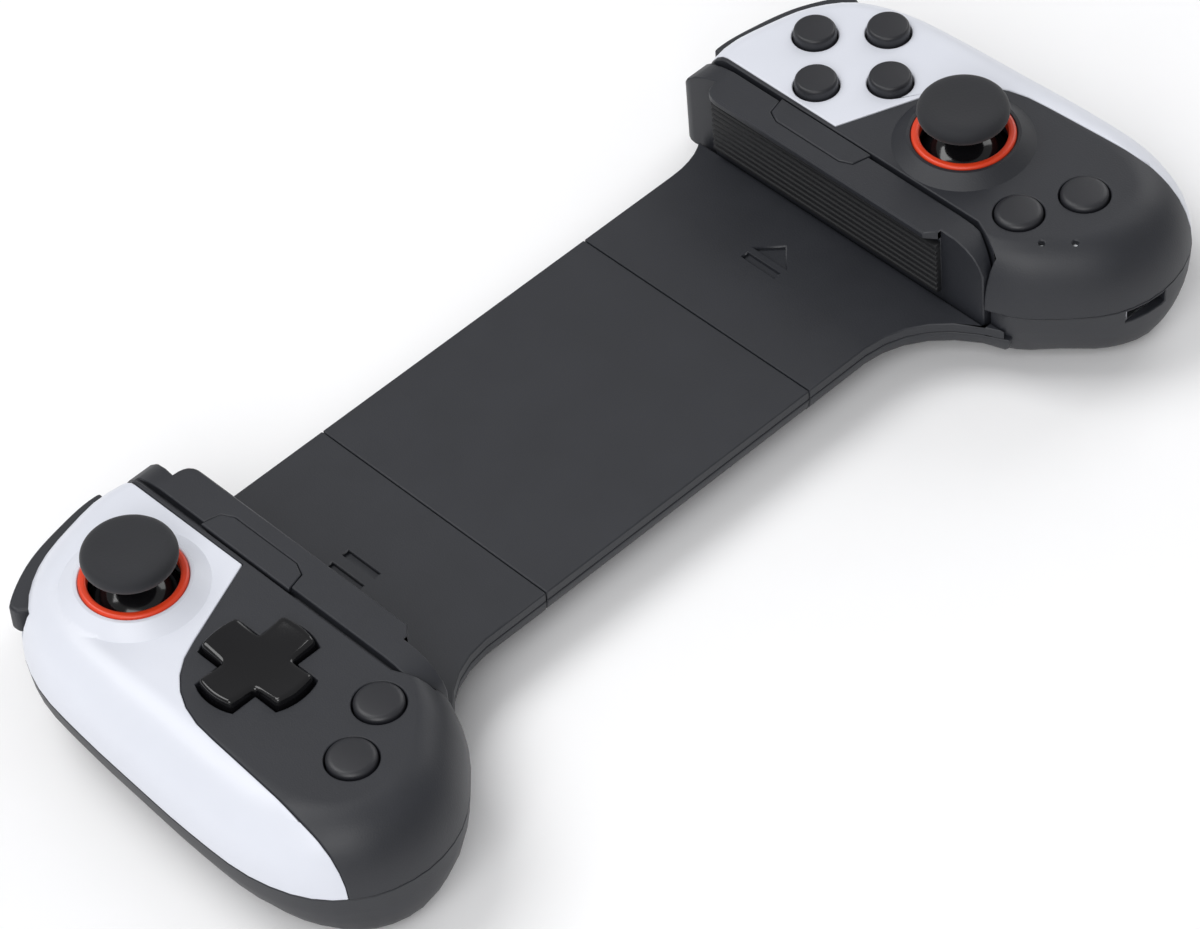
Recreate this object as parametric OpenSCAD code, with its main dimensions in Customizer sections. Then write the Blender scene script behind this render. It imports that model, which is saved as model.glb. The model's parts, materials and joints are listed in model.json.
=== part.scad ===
// Stretching game controller for a phone: two grips on a sliding bridge, millimetres, +Z up.
// Local frame: X along the bridge, +Y to the shoulder buttons, z = 0 on the bridge's top face.

/* [Bridge] */
// length of the middle module
centre_length = 68; // [66:1:74]
// from a seam to the inner edge of a grip's face
arm_length = 40.8; // [40:0.2:46]
// width of the bridge
bridge_width = 60; // [58:1:63]
// height of the bridge, cover and tray together
bridge_thickness = 7.5; // [7.2:0.1:8.4]
// thickness of the cover plates
cover_thickness = 2.2; // [2:0.1:2.5]
// how far each grip slides out
slide_travel = 36; // [20:1:36]

/* [Grips] */
// height of the grip's face over the bridge
face_height = 17.5; // [17:0.1:18.5]
// how far the grips hang below the bridge's top face
grip_drop = 13; // [12.5:0.1:14.5]
// height of the seam between upper and lower shell
parting_height = 4; // [3.6:0.1:4.2]
// thickness of the lower shell
wall = 2; // [1.8:0.1:2.2]

/* [Clamps] */
// how far the lip stands out over the rubber pad
lip_overhang = 1.3; // [0.8:0.1:1.5]
// number of ribs on each rubber pad
pad_ribs = 9; // [6:1:11]

/* [Sticks] */
// diameter of a stick's cap
cap_diameter = 17.6; // [16:0.5:18.5]
// outer diameter of the coloured ring
ring_diameter = 20; // [19.5:0.1:20.5]
// height of the cap's rim over the grip's face
cap_height = 10; // [9.9:0.1:11]

/* [Buttons] */
// diameter of a face button
face_button_diameter = 8.5; // [8.1:0.1:9.1]
// from the middle of the cluster to each face button
face_button_pitch = 10; // [9.6:0.1:10.4]
// how far a face button stands over the face
face_button_rise = 2.1; // [2:0.1:2.8]
// diameter of a small round button
small_button_diameter = 9.2; // [8.4:0.1:9.6]
// tip to tip across the direction pad
dpad_span = 21.8; // [21:0.2:23]
// width of one arm of the direction pad
dpad_arm = 8.8; // [8.4:0.1:9.2]

/* [Fits] */
// gap between moving pieces
fit_gap = 0.35; // [0.3:0.05:0.4]
// radial gap of a turning pin
pin_gap = 0.05; // [0.03:0.01:0.08]
// gap between pieces that are fixed to each other
seam_gap = 0.1; // [0.06:0.02:0.14]

/* [Hidden] */

// Curve settings
$fn = 48;
spline_steps = 3;
shoulder_steps = 7;
round_steps = 4;
flare_steps = 6;
LEFT = -1;
RIGHT = 1;

// Bridge values
seam_x = centre_length / 2;
grip_x = seam_x + arm_length;
half_width = bridge_width / 2;
reach = 2 * (grip_x + bridge_width);
arm_overrun = 6;
tray_wall = 3.6;
tray_floor = 1.4;
tray_round = 6;
tray_side = 0.6;
mark_x = seam_x + 17;
mark_half = 4.2;
mark_bar = 1.6;
mark_depth = 0.8;
tray_top = -cover_thickness;
tray_bottom = -bridge_thickness;
floor_top = tray_bottom + tray_floor;
inner_half = half_width - tray_wall;
rack_gap = 0.4;
rack_top = tray_top - rack_gap;
rack_bottom = floor_top + rack_gap;

// Rack and pinion values
tooth_module = 1;
pinion_teeth = 14;
pressure_angle = 20;
pitch_radius = tooth_module * pinion_teeth / 2;
addendum = 0.75 * tooth_module;
dedendum = 1.1 * tooth_module;
backlash = 0.3;
axle_radius = 2.5;
rack_tail = slide_travel + 6;
toothed_end = 8;
rack_root = pitch_radius + dedendum;
rack_side = inner_half - 0.3;
rack_foot = grip_x - 15;
peg_radius = 1.5;
peg_spots = [[seam_x + 8, -18], [seam_x + 20, -18]];
spring_y = 3;
spring_z = (rack_top + rack_bottom) / 2;
spring_inner = 10.3;
spring_outer = seam_x + 12;
post_radius = 1;
coil_radius = 1.2;
wire_radius = 0.3;
coil_turns = 12;
centre_screw_spots = [[18, 3.6], [-18, -3.6]];

// Grip outline at the parting seam: x from the face's inner edge, y, upper shoulder, lower shoulder
grip_points = [
    [-8.8, 0, 6, 8], [-8.3, 22, 6, 8], [-4.8, 34.5, 6, 10], [4.2, 38.8, 7, 12], [15.2, 37.8, 8, 13],
    [25.2, 34.5, 8, 14], [33.5, 27.7, 8, 16], [38.4, 17.4, 9, 18], [40.3, 4, 10, 19], [41.4, -12, 11, 19],
    [42.1, -27, 11, 18], [41.6, -42, 11, 16], [37.6, -53.7, 11, 13], [29.7, -61.2, 11, 10], [19.2, -63.8, 11, 9],
    [9.2, -61.4, 10, 12], [1, -54.8, 9, 15], [-5, -47, 8, 13], [-8.3, -35, 6, 10], [-8.8, -18, 6, 8]];
UPPER = 2;
LOWER = 3;
skin = 1.5;
plate_seam = [[0, 3], [18.7, -4.5], [31.2, -9], [31.6, -24], [33.2, -48]];
plate_lean = 0.4;
plate_rim = 0.9;
upper_wall = 3.2;
upper_base = parting_height + seam_gap / 2;
lower_top = parting_height - seam_gap / 2;
ceiling = face_height - upper_wall;

// Flare of a bridge arm into its grip: x from the face's inner edge, y from the side of the bridge
flare_end = -47.3;
step_x = -5.3;
near_bends = [[-25.8, 0], [-11.6, 0.6]];
far_bends = [[-17, 0], [-9, 0], [-4.5, 4.8]];
near_flare = bezier([grip_x + near_bends[0].x, -half_width - near_bends[0].y],
    [grip_x + near_bends[1].x, -half_width - near_bends[1].y], [grip_x + step_x + 0.3, flare_end], flare_steps);
far_flare = bezier([grip_x + far_bends[0].x, half_width + far_bends[0].y],
    [grip_x + far_bends[1].x, half_width + far_bends[1].y], [grip_x + far_bends[2].x, half_width + far_bends[2].y],
    flare_steps);

// Clamp values, x from the face's inner edge. The clamp stops where the cover still has a tongue beside it
clamp_foot = -6.5;
cover_edge = grip_x + clamp_foot - fit_gap;
cover_tongue = 0.62;
clamp_near = lookup(cover_edge, [for (p = near_flare) [p.x, p.y]]) + cover_tongue + fit_gap;
clamp_far = 38.6;
clamp_back = -fit_gap;
groove_width = 0.8;
groove_depth = 2;
lip_far = 28.5;
lip_near = -31.5;
lip_round = 4;
lip_height = 1.6;
lip_draft = 0.6;
lip_chamfer = 0.4;
nose = [11, 12];
pad_thickness = 1.4;
lip_edge = clamp_foot - pad_thickness - lip_overhang;
tail_bend = -35;
tail_tip = -3.4;
tail_height = 9;
tab_depth = 1.2;
tab_inner = -5.6;
tab_slant = 1.2;
tab_ends = [-8, -7, -4.5, 12, 14.5, 15.5];

// Stick values
left_stick = [17.2, 13.2];
right_stick = [14.1, -18.3];
pivot_z = face_height - 8.6;
stick_hole = ring_diameter / 2 - 0.6;
ring_inside = ring_diameter / 2 - 1.6;
ring_foot = face_height - 0.1;
ring_top = face_height + 2.5;
boss_top = face_height + 2.1;
boss_bottom = face_height - 2.4;
boss_base_radius = ring_diameter / 2 + 7;
boss_top_radius = ring_diameter / 2 + 0.9;
dome_radius = stick_hole + 0.9;
dome_wall = 0.8;
dome_reach = 60;
neck_radius = 3;
shaft_radius = 1.6;
yoke_half = 6.5;
yoke_inner = 4.6;
yoke_height = 3.6;
pin_radius = 1;
lug_inside = 6.85;
base_half = 8.5;
base_floor = pivot_z - 5;
hub_half = 3.6;
cap_top = face_height + cap_height;
cap_radius = cap_diameter / 2;
cap_bottom = cap_top - 4.2;

// Button values
upper_cluster = [16.7, 13.3];
inner_button = [6.6, -39.2];
outer_button = [18.4, -45];
dpad_spot = [15.2, -17.2];
guide_bottom = face_height - 7.3;
guide_wall = 1.5;
flange_width = 0.9;
flange_thickness = 1;
plunger_radius = 2;
plunger_bottom = guide_bottom - 4.6;
board_bottom = parting_height - 3.2;
board_thickness = 1.6;
board_top = board_bottom + board_thickness;
board_inset = 7;
board_start = 2;
board_ends = [-51, 28];
socket_tab = 12;
switch_height = 2;
switch_radius = 2.5;
dpad_top = face_height + 2;
dpad_gap = 0.5;
dpad_pivot_z = face_height - 2;
dpad_cavity = 5.2;
dpad_flange_z = face_height - 8;
dpad_pin = 0.8;
dpad_dish = 1;
dpad_roof = 2.1;
dpad_flange = 1.3;
fork_x = 2.6;
fork_wall = 1.2;
fork_half = 1.3;

// Shoulder values, places along the outline by control point
bumper_from = 3;
bumper_to = 5.98;
pocket_from = 2.92;
pocket_to = 6.11;
bumper_steps = 24;
bumper_bottom = 7;
bumper_top = 12.8;
bumper_proud = 1.6;
bumper_bluntness = 40;
bumper_depth = 4;
pocket_depth = 5.4;
trigger_from = 4.6;
trigger_to = 21.6;
trigger_hinge = [33, 0];
trigger_eye = 2.6;
trigger_tip = [45.6, -7.6];
trigger_lug = 2.4;

// Screws and sockets: x from the face's inner edge, y, height of the boss's end below the face
boss_spots = [[11, -50, 3.3], [32.4, -30, 4], [32.4, 3, 4]];
boss_radius = 3.4;
head_radius = 2;
head_height = 1.6;
screw_radius = 1;
head_seat = 6.2 - grip_drop;
screw_top = face_height - 9.5;
boss_floor = 2.2 - grip_drop;
socket_spot = [15.7, -63.4];
socket_size = [9, 7.4, 2.7];
socket_inset = 1.8;
socket_bottom = parting_height - 3.4;
light_spots = [[3.8, -47.5], [8.1, -52]];
light_radius = 0.5;
battery_low = [6.5, -38];
battery_size = [22, 46, 6.4];
battery_bottom = -8;
rib_width = 2;

// Frame: the middle of the whole box in Y, and the underside of the grips at zero
front_edge = min([for (p = outline()) p.y]);
frame_y = -(front_edge + trigger_tip[0]) / 2;

// Helper functions
function wrap(list, i) = list[(i + len(list)) % len(list)];
function unit(v) = v / norm(v);
function spline(list, i, t) = let (a = wrap(list, i - 1), b = wrap(list, i), c = wrap(list, i + 1), d = wrap(list, i + 2))
    0.5 * (2 * b + (c - a) * t + (2 * a - 5 * b + 4 * c - d) * t * t + (3 * b - a - 3 * c + d) * t * t * t);
function outline_at(u) = spline(grip_points, floor(u), u - floor(u)) + [grip_x, 0, 0, 0];
function outline() = [for (i = [0:len(grip_points) - 1]) for (k = [0:spline_steps - 1]) outline_at(i + k / spline_steps)];
function flat(p) = [p[0], p[1]];
function inward(list, k) = let (
    before = unit(flat(list[k]) - flat(wrap(list, k - 1))),
    after = unit(flat(wrap(list, k + 1)) - flat(list[k])),
    along = unit(before + after)) [along.y, -along.x];
function inward_at(u) = let (step = 0.01, along = unit(flat(outline_at(u + step)) - flat(outline_at(u - step)))) [along.y, -along.x];
function moved_at(u, inset) = flat(outline_at(u)) + inset * inward_at(u);
function ring(list, insets, z) = [for (k = [0:len(list) - 1])
    let (p = flat(list[k]) + insets[k] * inward(list, k)) [p.x, p.y, z]];
function bezier(a, b, c, n) = [for (k = [0:n]) let (t = k / n) (1 - t) * (1 - t) * a + 2 * t * (1 - t) * b + t * t * c];
function mean(list) = [for (j = [0:2]) let (v = [for (p = list) p[j]]) (v * [for (x = v) 1]) / len(v)];

// Solid through a stack of rings, each with the same number of points
module loft(rings) {
    n = len(rings[0]);
    last = len(rings) - 1;
    points = concat([mean(rings[0])], [for (r = rings) for (p = r) p], [mean(rings[last])]);
    sides = [for (j = [0:last - 1]) for (i = [0:n - 1])
        let (a = 1 + j * n + i, b = 1 + j * n + (i + 1) % n) each [[a, b, b + n], [a, b + n, a + n]]];
    first_cap = [for (i = [0:n - 1]) [0, 1 + (i + 1) % n, 1 + i]];
    last_cap = [for (i = [0:n - 1]) [len(points) - 1, 1 + last * n + i, 1 + last * n + (i + 1) % n]];
    polyhedron(points, concat(first_cap, sides, last_cap));
}

// Loft that runs on past its flat end and is cut off there
function levelled(list, z) = [for (p = list) [p.x, p.y, z]];
module under(z) {
    translate([-reach, -reach, z - reach]) cube([2 * reach, 2 * reach, reach]);
}
module above(z) {
    translate([-reach, -reach, z]) cube([2 * reach, 2 * reach, reach]);
}

// Grip's upper half, shrunk inwards by a thickness
module upper_form(shrink) {
    path = outline();
    top = face_height - shrink;
    rings = [for (s = [0:shoulder_steps]) let (a = 90 * s / shoulder_steps)
        ring(path, [for (p = path) shrink + p[UPPER] * (1 - cos(a))], upper_base + (top - upper_base) * sin(a))];
    intersection() {
        loft(concat(rings, [levelled(rings[shoulder_steps], top + 1)]));
        under(top);
    }
}

// Grip's lower half, shrunk inwards by a thickness
module lower_form(shrink) {
    path = outline();
    bottom = shrink - grip_drop;
    rings = [for (s = [shoulder_steps:-1:0]) let (a = 90 * s / shoulder_steps)
        ring(path, [for (p = path) shrink + p[LOWER] * (1 - cos(a))], lower_top + (bottom - lower_top) * sin(a))];
    intersection() {
        loft(concat([levelled(rings[0], bottom - 1)], rings));
        above(bottom);
    }
}

function reversed(list) = [for (k = [len(list) - 1:-1:0]) list[k]];

// Bridge arm's solid, run a little past the seam and into the grip
arm_path = concat([[seam_x - arm_overrun, -half_width], [seam_x - arm_overrun, half_width]], far_flare,
    [[grip_x + 4, 31], [grip_x + 7, 0], [grip_x + 4, flare_end + 3]], reversed(near_flare));
module arm_form() {
    none = [for (p = arm_path) 0];
    side_end = tray_top - tray_side;
    rings = [for (s = [round_steps:-1:0]) let (a = 90 * s / round_steps)
        ring(arm_path, [for (p = arm_path) tray_round * (1 - cos(a))], side_end + (tray_bottom - side_end) * sin(a))];
    intersection() {
        loft(concat([levelled(rings[0], tray_bottom - 1)], rings, [ring(arm_path, none, tray_top)]));
        above(tray_bottom);
    }
}

// Hollow of a bridge arm
module arm_hollow() {
    inside = [for (k = [0:len(arm_path) - 1]) arm_path[k] + tray_wall * inward(arm_path, k)];
    translate([0, 0, floor_top]) linear_extrude(grip_drop) polygon(inside);
}

// Where a clamp stands, cut from the upper pieces
module clamp_zone() {
    linear_extrude(2 * face_height) polygon([[seam_x, reach], [grip_x, reach], [grip_x, tail_bend],
        [grip_x + tail_tip, clamp_near], [seam_x, clamp_near]]);
}

// Where the clamp and the arm's cover sit, cut from the lower shell
module deck_zone() {
    step = grip_x + step_x;
    start = seam_x - 2 * arm_overrun;
    front = flare_end - arm_overrun;
    translate([0, 0, tray_top]) linear_extrude(2 * face_height) polygon([[start, reach], [grip_x, reach],
        [grip_x, tail_bend], [grip_x + tail_tip, clamp_near], [step, clamp_near - fit_gap], [step, front],
        [start, front]]);
}

// White part of the grip's face in plan
module white_zone(shift) {
    seam = [for (p = plate_seam) [grip_x + p.x, p.y]];
    edge = seam[0].x + plate_rim;
    translate([shift, shift, upper_base - 1]) linear_extrude(2 * face_height) polygon(concat(
        [[edge, seam[0].y - plate_lean * plate_rim]], bezier(seam[1], seam[2], seam[3], flare_steps),
        [seam[4], [seam[4].x, -reach], [grip_x + reach, -reach], [grip_x + reach, reach], [edge, reach]]));
}

// Space for the bumper
module bumper_pocket() {
    band = [for (k = [0:bumper_steps]) pocket_from + (pocket_to - pocket_from) * k / bumper_steps];
    translate([0, 0, bumper_bottom - fit_gap])
        linear_extrude(bumper_top - bumper_bottom + 2 * fit_gap)
            polygon(concat([for (u = band) moved_at(u, -6)], reversed([for (u = band) moved_at(u, pocket_depth)])));
}

// Raised cone around a stick, grown by a gap
module stick_boss(spot, grow) {
    translate([grip_x + spot[0], spot[1], boss_bottom])
        cylinder(h = boss_top - boss_bottom, r1 = boss_base_radius + grow, r2 = boss_top_radius + grow);
}

// Stepped hole that holds a stick's ring
module stick_opening(spot) {
    translate([grip_x + spot[0], spot[1], 0]) {
        translate([0, 0, upper_base]) cylinder(h = face_height, r = stick_hole);
        translate([0, 0, ring_foot]) cylinder(h = face_height, r = ring_diameter / 2 + seam_gap);
    }
}

// Straight hole through the face
module face_hole(spot, radius) {
    translate([grip_x + spot[0], spot[1], guide_bottom - 1]) cylinder(h = face_height, r = radius);
}

function face_spots() = [for (a = [90, 0, -90, 180]) upper_cluster + face_button_pitch * [cos(a), sin(a)]];
function small_spots() = [inner_button, outer_button];

// Outline of the direction pad, grown by a gap
module dpad_shape(grow) {
    intersection() {
        circle(r = dpad_span / 2 + grow);
        union() {
            square([dpad_span + 4, dpad_arm + 2 * grow], center = true);
            square([dpad_arm + 2 * grow, dpad_span + 4], center = true);
        }
    }
}

// Tube under the face that guides a button
module guide_tube(spot, radius) {
    translate([grip_x + spot[0], spot[1], guide_bottom])
        cylinder(h = face_height - guide_bottom, r = radius + fit_gap + guide_wall);
}

// Black upper shell with its ledge under the white plate
module upper_shell(side) {
    difference() {
        union() {
            difference() {
                upper_form(0);
                white_zone(0);
            }
            upper_form(skin + seam_gap);
            if (side == RIGHT) stick_boss(right_stick, 0);
        }
        difference() {
            upper_form(upper_wall);
            for (spot = small_spots()) guide_tube(spot, small_button_diameter / 2);
            if (side == RIGHT) for (spot = face_spots()) guide_tube(spot, face_button_diameter / 2);
            for (spot = boss_spots)
                translate([grip_x + spot[0], spot[1], board_top + seam_gap])
                    cylinder(h = face_height - board_top - spot[2] + 1, r = boss_radius - 0.6);
        }
        clamp_zone();
        bumper_pocket();
        for (spot = boss_spots)
            translate([grip_x + spot[0], spot[1], 0]) cylinder(h = screw_top + 0.3, r = screw_radius + pin_gap);
        for (spot = small_spots()) face_hole(spot, small_button_diameter / 2 + fit_gap);
        if (side == RIGHT) {
            stick_opening(right_stick);
            for (spot = face_spots()) face_hole(spot, face_button_diameter / 2 + fit_gap);
            for (spot = light_spots)
                translate([grip_x + spot[0], spot[1], upper_base]) cylinder(h = face_height, r = light_radius + pin_gap);
        } else {
            face_hole(left_stick, stick_hole + 0.6);
            translate([grip_x + dpad_spot[0], dpad_spot[1], guide_bottom])
                linear_extrude(face_height) dpad_shape(dpad_gap);
        }
    }
}

// White plate on the outer half of the face
module faceplate(side) {
    difference() {
        union() {
            intersection() {
                upper_form(0);
                white_zone(seam_gap);
            }
            if (side == LEFT) stick_boss(left_stick, 0);
        }
        upper_form(skin);
        clamp_zone();
        bumper_pocket();
        if (side == LEFT) stick_opening(left_stick);
        if (side == RIGHT) {
            stick_boss(right_stick, seam_gap);
            for (spot = face_spots()) face_hole(spot, face_button_diameter / 2 + fit_gap);
        }
    }
}

// Lower shell: the grip's bowl and the bridge arm's tray in one piece
module lower_shell(side) {
    turn = side == LEFT ? -1 : 1;
    difference() {
        union() {
            difference() {
                lower_form(0);
                deck_zone();
            }
            arm_form();
        }
        difference() {
            lower_form(wall);
            shell_bosses();
            trigger_lugs();
        }
        difference() {
            arm_hollow();
            shell_bosses();
            trigger_lugs();
            translate([spring_outer, -turn * spring_y, tray_bottom]) cylinder(h = rack_top - tray_bottom, r = post_radius);
        }
        translate([seam_x - reach + seam_gap, -reach, -grip_drop]) cube([reach, 2 * reach, grip_drop]);
        trigger_opening();
        trigger_bore(pin_radius + pin_gap);
        for (spot = boss_spots) translate([grip_x + spot[0], spot[1], 0]) {
            translate([0, 0, -grip_drop - 1]) cylinder(h = head_seat + grip_drop + 1, r = head_radius + 0.3);
            translate([0, 0, -grip_drop]) cylinder(h = grip_drop + board_bottom, r = screw_radius + 0.15);
        }
        for (spot = peg_spots)
            translate([spot[0], turn * spot[1], tray_bottom + 0.3]) cylinder(h = tray_floor, r = peg_radius + pin_gap);
        if (side == RIGHT) socket_hole();
    }
}

// Posts for the screws and ribs under the battery and board
module shell_bosses() {
    for (spot = boss_spots)
        translate([grip_x + spot[0], spot[1], boss_floor - 2])
            cylinder(h = board_bottom - seam_gap - boss_floor + 2, r = boss_radius);
    for (y = [battery_low.y + 8, battery_low.y + battery_size.y - 8])
        translate([grip_x + battery_low.x, y - rib_width / 2, -grip_drop])
            cube([battery_size.x, rib_width, battery_bottom + grip_drop - seam_gap]);
}

module trigger_lugs() {
    for (x = [trigger_from - trigger_lug - fit_gap, trigger_to + fit_gap])
        translate([grip_x + x, trigger_hinge[0] - trigger_eye, trigger_hinge[1] - 2 * trigger_eye])
            cube([trigger_lug, 3 * trigger_eye, 2 * trigger_eye + lower_top - trigger_hinge[1]]);
}

module trigger_opening() {
    translate([grip_x + trigger_from - fit_gap, trigger_hinge[0] - trigger_eye - 1, trigger_tip[1] - 3])
        cube([trigger_to - trigger_from + 2 * fit_gap, 30, grip_drop + face_height]);
}

module trigger_bore(radius) {
    translate([grip_x + trigger_from - trigger_lug - fit_gap, trigger_hinge[0], trigger_hinge[1]])
        rotate([0, 90, 0]) cylinder(h = trigger_to - trigger_from + 2 * trigger_lug + 2 * fit_gap, r = radius);
}

module socket_hole() {
    translate([grip_x + socket_spot[0] - socket_size.x / 2 - seam_gap, socket_spot[1] - 6, socket_bottom - seam_gap])
        cube([socket_size.x + 2 * seam_gap, 12, socket_size.z + 2 * seam_gap]);
}

// Flared cover plate on a bridge arm
module arm_cover(side) {
    difference() {
        translate([0, 0, tray_top + seam_gap]) linear_extrude(cover_thickness - seam_gap) difference() {
            polygon(arm_path);
            translate([seam_x + seam_gap - reach, -reach]) square([reach, 2 * reach]);
            translate([cover_edge, clamp_near - fit_gap]) square([reach, 2 * reach]);
            translate([grip_x + step_x - seam_gap, -reach]) square([reach, 2 * reach]);
        }
        translate([mark_x, 0, -mark_depth]) linear_extrude(2 * mark_depth) deck_mark(side);
    }
}

// Plain sunk mark on a cover: two bars on the left, a bar and an arrowhead on the right
module deck_mark(side) {
    bars = side == LEFT ? [0, 2.5 * mark_bar] : [0];
    for (x = bars) translate([x, -mark_half]) square([mark_bar, 2 * mark_half]);
    if (side == RIGHT) translate([2 * mark_bar, 0])
        polygon([[0, -mark_half], [mark_half, 0], [0, mark_half]]);
}

// Clamp wall with its lip
module clamp() {
    top = face_height + seam_gap;
    foot = tray_top + seam_gap;
    lip_low = top - lip_height;
    difference() {
        intersection() {
            translate([0, clamp_far + 1, 0]) rotate([90, 0, 0]) linear_extrude(clamp_far - clamp_near + 2) polygon([
                [grip_x + clamp_foot, foot], [grip_x + clamp_foot, lip_low - lip_draft],
                [grip_x + lip_edge, lip_low], [grip_x + lip_edge, top - lip_chamfer],
                [grip_x + lip_edge + lip_chamfer, top],
                [grip_x + clamp_back - groove_width, top], [grip_x + clamp_back - groove_width, top - groove_depth],
                [grip_x + clamp_back, top - groove_depth], [grip_x + clamp_back, foot]]);
            translate([0, 0, foot - 1]) linear_extrude(top - foot + 2) polygon(concat(
                [[grip_x + lip_edge, lip_near + 2]],
                bezier([grip_x + lip_edge, lip_far - lip_round], [grip_x + lip_edge, lip_far],
                    [grip_x + lip_edge + lip_round, lip_far], flare_steps),
                bezier([grip_x + lip_edge + lip_round - 1, clamp_far - lip_round],
                    [grip_x + lip_edge + lip_round - 1, clamp_far], [grip_x + clamp_back, clamp_far], flare_steps),
                [[grip_x + clamp_back, tail_bend], [grip_x + tail_tip - fit_gap, clamp_near + fit_gap],
                [grip_x + clamp_foot + 0.1, clamp_near + fit_gap], [grip_x + clamp_foot + 0.1, lip_near],
                [grip_x + lip_edge + 2, lip_near]]));
            rotate([90, 0, 90]) linear_extrude(grip_x + 10) polygon(concat(
                [[clamp_near, foot]],
                bezier([clamp_near, tail_height], [clamp_near, top], [lip_near, top], flare_steps),
                bezier([clamp_far - nose[0], top], [clamp_far, top - 0.8], [clamp_far, top - nose[1]], flare_steps),
                [[clamp_far - 1.6, foot]]));
        }
        translate([0, 0, top - tab_depth]) linear_extrude(tab_depth + 1) tab_shape(seam_gap);
    }
}

// Inset plate on top of a clamp, reaching over the groove
module tab_shape(grow) {
    inner = grip_x + tab_inner - grow;
    outer = grip_x + clamp_back - seam_gap;
    polygon([[outer, tab_ends[5] + grow], [inner + tab_slant, tab_ends[4] + grow], [inner, tab_ends[3]],
        [inner, tab_ends[2]], [inner + tab_slant, tab_ends[1] - grow], [outer, tab_ends[0] - grow]]);
}

module clamp_tab() {
    translate([0, 0, face_height - tab_depth + 2 * seam_gap]) linear_extrude(tab_depth) tab_shape(0);
}

// Ribbed rubber pad on the clamp's inner face
module clamp_pad() {
    low = 2;
    high = face_height - lip_height - 1.4;
    pitch = (high - low) / pad_ribs;
    back = grip_x + clamp_foot - seam_gap;
    front = back - pad_thickness;
    groove = 0.6;
    translate([0, lip_far - 1, 0]) rotate([90, 0, 0])
        linear_extrude(lip_far - 1 - lip_near) polygon(concat([[back, low]],
            [for (k = [0:pad_ribs - 1]) each [[front + groove, low + k * pitch], [front, low + (k + 0.25) * pitch],
                [front, low + (k + 0.75) * pitch]]],
            [[front + groove, high], [back, high]]));
}

// Middle module of the bridge
module tray_profile() {
    side_end = tray_top - tray_side;
    corner = [for (s = [0:round_steps]) let (a = 90 * s / round_steps)
        [half_width - tray_round * (1 - cos(a)), side_end + (tray_bottom - side_end) * sin(a)]];
    polygon(concat([[-half_width, tray_top]], [for (c = corner) [-c.x, c.y]], reversed(corner), [[half_width, tray_top]]));
}

module centre_tray() {
    length = centre_length - 2 * seam_gap;
    difference() {
        translate([-length / 2, 0, 0]) rotate([90, 0, 90]) linear_extrude(length) tray_profile();
        difference() {
            translate([-length, -inner_half, floor_top]) cube([2 * length, 2 * inner_half, bridge_thickness]);
            translate([0, 0, tray_bottom]) cylinder(h = tray_top - tray_bottom - rack_gap, r = axle_radius);
            for (s = [-1, 1])
                translate([s * spring_inner, -s * spring_y, tray_bottom])
                    cylinder(h = rack_top - tray_bottom, r = post_radius);
            for (spot = centre_screw_spots)
                translate([spot[0], spot[1], tray_bottom]) cylinder(h = tray_top - tray_bottom - seam_gap, r = 2.2);
        }
        for (spot = centre_screw_spots) translate([spot[0], spot[1], tray_bottom - 1]) {
            cylinder(h = bridge_thickness, r = screw_radius + 0.15);
            cylinder(h = head_height + 1.2, r = head_radius - 0.3);
        }
    }
}

module centre_cover() {
    length = centre_length - 2 * seam_gap;
    difference() {
        translate([-length / 2, -half_width, tray_top + seam_gap]) cube([length, bridge_width, cover_thickness - seam_gap]);
        for (spot = centre_screw_spots)
            translate([spot[0], spot[1], tray_top - 1]) cylinder(h = 2.4, r = screw_radius + pin_gap);
    }
}

module centre_screws() {
    for (spot = centre_screw_spots) translate([spot[0], spot[1], tray_bottom + 0.2]) {
        cylinder(h = head_height, r = head_radius - 0.5);
        cylinder(h = bridge_thickness - cover_thickness + 1, r = screw_radius);
    }
}

// Involute pinion on the tray's axle
module pinion() {
    base_radius = pitch_radius * cos(pressure_angle);
    tip_radius = pitch_radius + addendum;
    root_radius = pitch_radius - dedendum;
    function roll(r) = sqrt(max(0, r * r / (base_radius * base_radius) - 1)) * 180 / PI;
    function turn(r) = roll(r) - atan(roll(r) * PI / 180);
    half_tooth = (90 - backlash / 2 / pitch_radius * 180 / PI * pinion_teeth / 2) / pinion_teeth;
    flank = [root_radius, base_radius, (base_radius + pitch_radius) / 2, pitch_radius, (pitch_radius + tip_radius) / 2, tip_radius];
    function flank_angle(r) = half_tooth + turn(pitch_radius) - turn(max(r, base_radius));
    tooth = [for (r = flank) [r, flank_angle(r)]];
    translate([0, 0, rack_bottom]) linear_extrude(rack_top - rack_bottom) difference() {
        polygon([for (k = [0:pinion_teeth - 1]) let (middle = 90 + k * 360 / pinion_teeth)
            each concat([for (p = tooth) p[0] * [cos(middle - p[1]), sin(middle - p[1])]],
                [for (p = reversed(tooth)) p[0] * [cos(middle + p[1]), sin(middle + p[1])]])]);
        circle(r = axle_radius + pin_gap);
    }
}

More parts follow.
